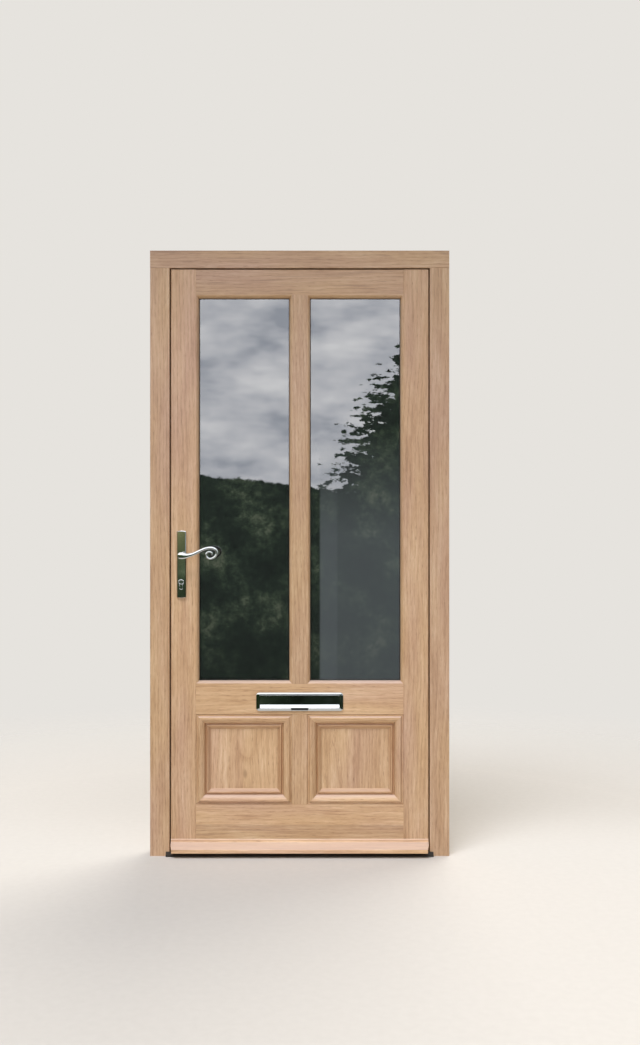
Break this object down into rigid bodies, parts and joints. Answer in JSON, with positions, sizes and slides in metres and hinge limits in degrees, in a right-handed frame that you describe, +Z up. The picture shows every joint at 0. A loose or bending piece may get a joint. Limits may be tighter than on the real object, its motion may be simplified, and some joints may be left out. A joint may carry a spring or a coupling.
{
  "type": "glazed panelled front door with frame",
  "caption": "Oak front door in its rebated frame, with tall glazed lights over sunk moulded panels, scroll lever handles, a letter plate and a weather bar.",
  "frame": {"origin": "On the ground under the threshold, midway between the jambs, in the plane of the frame's outer face", "axes": "+Z up, +X from the lock side to the hinge side as seen from outside, +Y from outside to inside"},
  "size_m": [1.031, 0.18, 2.086],
  "materials": {
    "oak": "clear satin varnish on open-grained oak",
    "glass": "clear float glass, sealed double unit",
    "spacer": "mill finish",
    "sill": "dark anodised",
    "seal": "matt black",
    "chrome": "polished",
    "steel": "satin",
    "nickel": "satin nickel"
  },
  "bodies": {
    "frame": {"lock_jamb": "oak", "hinge_jamb": "oak", "frame_head": "oak", "threshold": "sill", "threshold_seal": "seal", "frame_seals": "seal", "keep_strip": "steel", "bottom_hinge_frame_plate": "steel", "middle_hinge_frame_plate": "steel", "top_hinge_frame_plate": "steel", "hinge_pins": "steel"},
    "leaf": {"lock_stile": "oak", "hinge_stile": "oak", "top_rail": "oak", "lock_rail": "oak", "bottom_rail": "oak", "bottom_board": "oak", "upper_muntin": "oak", "lower_muntin": "oak", "left_panel": "oak", "right_panel": "oak", "left_panel_moulding_outside": "oak", "left_panel_moulding_inside": "oak", "right_panel_moulding_outside": "oak", "right_panel_moulding_inside": "oak", "left_glazing_bead_outside": "oak", "left_glazing_bead_inside": "oak", "right_glazing_bead_outside": "oak", "right_glazing_bead_inside": "oak", "left_glass": "glass", "right_glass": "glass", "glazing_spacers": "spacer", "weather_bar": "oak", "foot_seal": "seal", "bottom_hinge_leaf_plate": "steel", "middle_hinge_leaf_plate": "steel", "top_hinge_leaf_plate": "steel", "lock_faceplate": "steel", "lock_case": "steel", "bolt_cases": "steel", "cylinder_body": "nickel", "outside_handle_plate": "chrome", "inside_handle_plate": "chrome", "letter_frame_outside": "chrome", "letter_frame_inside": "chrome", "flap_pins": "steel"},
    "lever": {"outside_lever": "chrome", "inside_lever": "chrome", "spindle": "steel", "lock_follower": "steel"},
    "latch": {"latch_bolt": "steel"},
    "plug": {"cylinder_plug": "nickel"},
    "dead_bolt": {"dead_bolt": "steel"},
    "lower_bolt": {"lower_bolt": "steel"},
    "upper_bolt": {"upper_bolt": "steel"},
    "outer_flap": {"letter_flap_outside": "chrome"},
    "inner_flap": {"letter_flap_inside": "chrome"}
  },
  "joints": [
    {"name": "leaf_swing", "type": "hinge", "parent": "frame", "child": "leaf", "pos_m": [0.459, 0.0815, 0], "axis": [0, 0, -1], "range_deg": [0, 100]},
    {"name": "lever_turn", "type": "hinge", "parent": "leaf", "child": "lever", "pos_m": [-0.4075, 0.04, 1.036], "axis": [0, 1, 0], "range_deg": [0, 40]},
    {"name": "latch_slide", "type": "slide", "parent": "leaf", "child": "latch", "axis": [1, 0, 0], "range_m": [0, 0.012]},
    {"name": "key_turn", "type": "hinge", "parent": "leaf", "child": "plug", "pos_m": [-0.4075, 0.0545, 0.944], "axis": [0, 1, 0], "range_deg": [0, 360]},
    {"name": "dead_bolt_slide", "type": "slide", "parent": "leaf", "child": "dead_bolt", "axis": [-1, 0, 0], "range_m": [0, 0.02]},
    {"name": "lower_bolt_slide", "type": "slide", "parent": "leaf", "child": "lower_bolt", "axis": [-1, 0, 0], "range_m": [0, 0.02]},
    {"name": "upper_bolt_slide", "type": "slide", "parent": "leaf", "child": "upper_bolt", "axis": [-1, 0, 0], "range_m": [0, 0.02]},
    {"name": "outer_flap_swing", "type": "hinge", "parent": "leaf", "child": "outer_flap", "pos_m": [0, 0.0006, 0.553], "axis": [-1, 0, 0], "range_deg": [0, 85]},
    {"name": "inner_flap_swing", "type": "hinge", "parent": "leaf", "child": "inner_flap", "pos_m": [0, 0.0794, 0.553], "axis": [1, 0, 0], "range_deg": [0, 85]}
  ],
  "couplings": [
    {"joint": "latch_slide", "follows": "lever_turn", "m_per_rad": 0.017189},
    {"joint": "key_turn", "follows": "dead_bolt_slide", "rad_per_m": 314.16},
    {"joint": "lower_bolt_slide", "follows": "dead_bolt_slide", "ratio": 1},
    {"joint": "upper_bolt_slide", "follows": "dead_bolt_slide", "ratio": 1}
  ]
}
